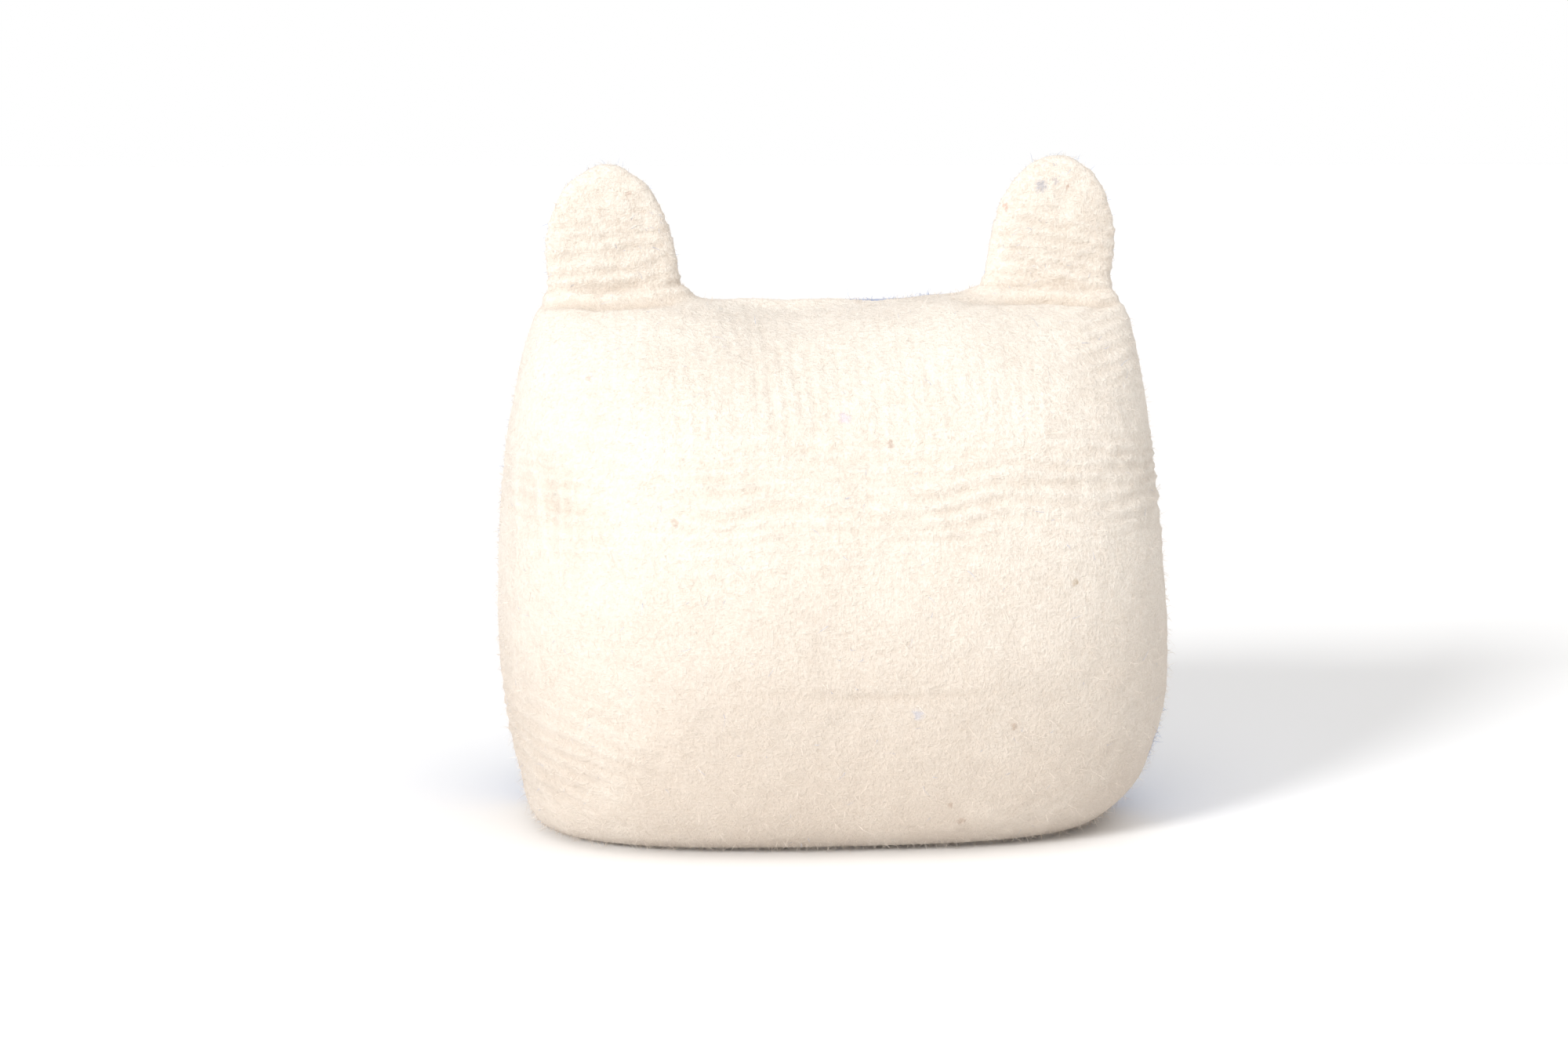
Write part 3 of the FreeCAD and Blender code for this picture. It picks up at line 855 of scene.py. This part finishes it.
def woven(name, light, dark, threads):
    """A plain weave: two sets of threads across each other, with uneven slubs."""
    look = Look(name, 0.85, sheen=0.15)
    sets = []
    for axis in ("X", "Y"):
        inputs = {"Vector": look.place, "Scale": threads, "Distortion": 0.6, "Detail": 1.0}
        inputs["Detail Scale"] = 3.0
        waves = look.node("ShaderNodeTexWave", inputs, bands_direction=axis)
        sets.append(waves.outputs["Fac"])
    weave = look.sum_of(sets[0], 0.5, look.product(sets[1], 0.5))
    slubs = look.noise(70, stretch=(1, 7, 1))
    tone = look.sum_of(slubs, 0.7, look.product(weave, 0.5))
    colour = look.mix(look.ramp(tone, 0.3, 0.85), dark, light)
    return look.finish(colour, weave, 0.0003)


def floor_look():
    look = Look("studio_floor", 0.9)
    colour = look.mix(look.noise(3), (0.95, 0.948, 0.946), (0.955, 0.953, 0.951))
    return look.finish(colour, look.noise(40), 0.0)


wool, fibre = wool_look(), fibre_look()
for piece in skin.values():
    piece.data.materials.append(wool)
skin["cave_lining"].data.materials[0] = lining_look()
for piece in loose.values():
    piece.data.materials.append(fibre)
for piece in (cover_top, cover_bottom):
    piece.data.materials.append(
        woven("cushion_weave", (0.85, 0.80, 0.71), (0.70, 0.64, 0.55), 160)
    )
piping.data.materials.append(woven("piping_weave", (0.34, 0.41, 0.57), (0.23, 0.29, 0.44), 220))


# ---------------------------------------------------------------- what each piece rides on


def fold_with(piece):
    """Bakes the piece's place into its mesh; the piece is attached to no body."""
    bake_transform(piece)


for name, piece in (skin | loose).items():
    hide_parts(*STANDS_FOR.get(name, []))
    ear_name = name[: name.index("_ear") + 4] if "_ear_" in name else None
    if ear_name:
        fold_with(piece)
    else:
        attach(piece, "cave")

for piece in (cover_top, cover_bottom, piping):
    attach(piece, "cushion")
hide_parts("cushion_top_panel", "cushion_stuffing")
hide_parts("cushion_front_flap", "cushion_rear_flap")
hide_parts("cushion_piping")

# ---------------------------------------------------------------- the camera and its surroundings

camera = bpy.data.objects.new("camera", bpy.data.cameras.new("camera"))
bpy.context.scene.collection.objects.link(camera)
bpy.context.scene.camera = camera
camera.data.sensor_width = 36
camera.data.lens = 65.4
azimuth, elevation, distance = math.radians(175.1), math.radians(8), 2.0
sideways = Vector((math.cos(azimuth), math.sin(azimuth), 0))
target = sideways * -0.0305 + Vector((0, 0, 0.2065))
towards_eye = Vector(
    (
        math.sin(azimuth) * math.cos(elevation),
        -math.cos(azimuth) * math.cos(elevation),
        math.sin(elevation),
    )
)
camera.location = target + towards_eye * distance
camera.rotation_euler = towards_eye.to_track_quat("Z", "Y").to_euler()

floor = new_mesh("floor", [(-30, -30, 0), (30, -30, 0), (30, 30, 0), (-30, 30, 0)], [(0, 1, 2, 3)])
floor.data.materials.append(floor_look())
floor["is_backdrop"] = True

world = bpy.data.worlds.new("studio")
bpy.context.scene.world = world
world.use_nodes = True
sky = world.node_tree
direction = sky.nodes.new("ShaderNodeTexCoord").outputs["Generated"]
split = sky.nodes.new("ShaderNodeSeparateXYZ")
sky.links.new(direction, split.inputs[0])
climb = sky.nodes.new("ShaderNodeMapRange")
climb.inputs["From Min"].default_value = 0.2
climb.inputs["From Max"].default_value = 0.5
sky.links.new(split.outputs["Z"], climb.inputs["Value"])
wall_to_ceiling = sky.nodes.new("ShaderNodeMix")
wall_to_ceiling.data_type = "RGBA"
wall_to_ceiling.inputs[6].default_value = (1, 1, 1, 1)
wall_to_ceiling.inputs[7].default_value = (0.22, 0.212, 0.206, 1)
sky.links.new(climb.outputs[0], wall_to_ceiling.inputs[0])
sky.links.new(wall_to_ceiling.outputs[2], sky.nodes["Background"].inputs["Color"])

LIGHTS = {
    "key": {"energy": 2.45, "angle": 14, "from": (0.69, 0.72, 0.466)},
    "softbox": {"energy": 1.65, "angle": 60, "from": (-0.1, 0.3, 0.95)},
}
for name, facts in LIGHTS.items():
    light = bpy.data.objects.new(name, bpy.data.lights.new(name, "SUN"))
    light.data.energy = facts["energy"]
    light.data.angle = math.radians(facts["angle"])
    bpy.context.scene.collection.objects.link(light)
    light.rotation_euler = Vector(facts["from"]).to_track_quat("Z", "Y").to_euler()

scene = bpy.context.scene
scene.view_settings.view_transform = "Standard"
scene.view_settings.look = "None"

# ---------------------------------------------------------------- the bounds of what is drawn

low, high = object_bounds()
